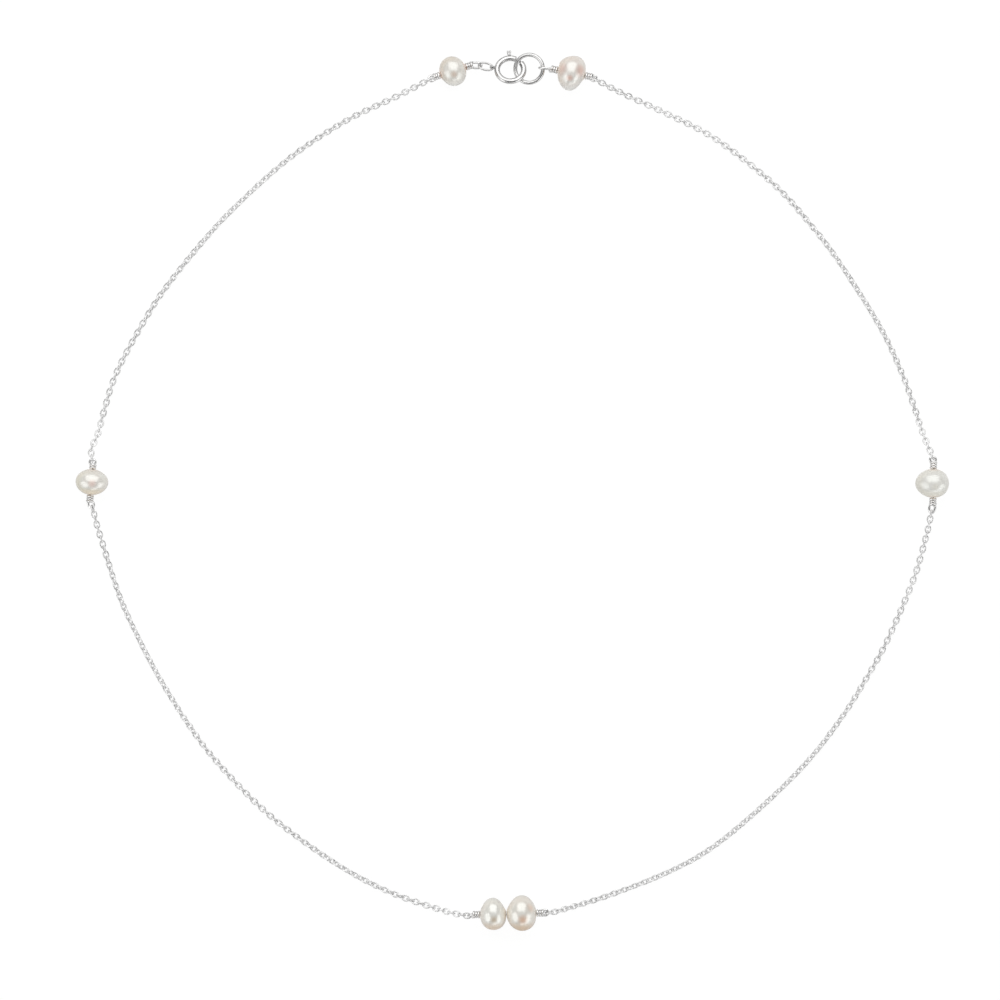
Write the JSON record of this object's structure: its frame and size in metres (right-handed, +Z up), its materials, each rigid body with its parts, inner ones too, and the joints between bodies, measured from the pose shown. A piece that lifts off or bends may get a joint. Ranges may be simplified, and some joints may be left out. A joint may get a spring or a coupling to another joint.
{
  "type": "pearl choker",
  "caption": "Choker of fine silver cable chain with off-round pearls wired in along it and a spring ring clasp, lying closed in a flat loop.",
  "frame": {"origin": "middle of the lying loop's box, on the surface that the necklace lies on", "axes": "+Z up off the surface, +Y from the front pearls to the clasp, +X to the right seen from above"},
  "size_m": [0.1372, 0.1384, 0.0056],
  "materials": {
    "pearl_cream": "cream nacre with a soft lustre",
    "pearl_rosy": "white nacre with a beige rim and a rosy overtone",
    "pearl_grey": "cool white nacre, satin",
    "silver_wire": "polished silver wire",
    "silver_chain": "polished silver links",
    "silver_clasp": "polished silver"
  },
  "bodies": {
    "necklace": {"pearl_front_left": "pearl_cream", "pearl_front_right": "pearl_cream", "pearl_left": "pearl_rosy", "pearl_right": "pearl_grey", "pearl_back_left": "pearl_rosy", "pearl_back_right": "pearl_rosy", "wire_front": "silver_wire", "wire_left": "silver_wire", "wire_right": "silver_wire", "wire_back_left": "silver_wire", "wire_back_right": "silver_wire", "chain_upper_left": "silver_chain", "chain_upper_right": "silver_chain", "chain_lower_left": "silver_chain", "chain_lower_right": "silver_chain", "connector_ring": "silver_clasp", "spring_ring": "silver_clasp", "jump_ring": "silver_clasp"},
    "bolt": {"spring_bolt": "silver_clasp"}
  },
  "joints": [
    {"name": "bolt_slide", "type": "hinge", "parent": "necklace", "child": "bolt", "pos_m": [-0.00025, 0.066, 0.00182], "axis": [0, 0.4695, 0.8829], "range_deg": [0, 36], "stiffness_Nm_per_rad": 0.003, "springref_deg": -22.92}
  ]
}
